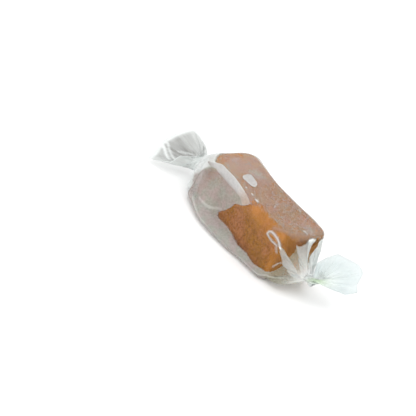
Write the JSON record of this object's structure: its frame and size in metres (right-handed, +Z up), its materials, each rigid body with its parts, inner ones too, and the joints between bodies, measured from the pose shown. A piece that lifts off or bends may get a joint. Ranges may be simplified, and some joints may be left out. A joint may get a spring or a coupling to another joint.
{
  "type": "wrapped caramel sweet",
  "caption": "Soft caramel block in a translucent waxed paper wrapper, twisted at both ends into small open fans.",
  "frame": {"origin": "the middle of the flat underside that the sweet lies on", "axes": "+X along the sweet towards the twist that opens upwards, +Z up, -Y towards the side where the paper hangs loose"},
  "size_m": [0.0887, 0.0298, 0.0188],
  "materials": {
    "caramel": "soft satin, cooked sugar",
    "waxed_paper": "translucent, waxed"
  },
  "bodies": {
    "root": {"caramel": "caramel", "wrapper": "waxed_paper"}
  },
  "joints": []
}
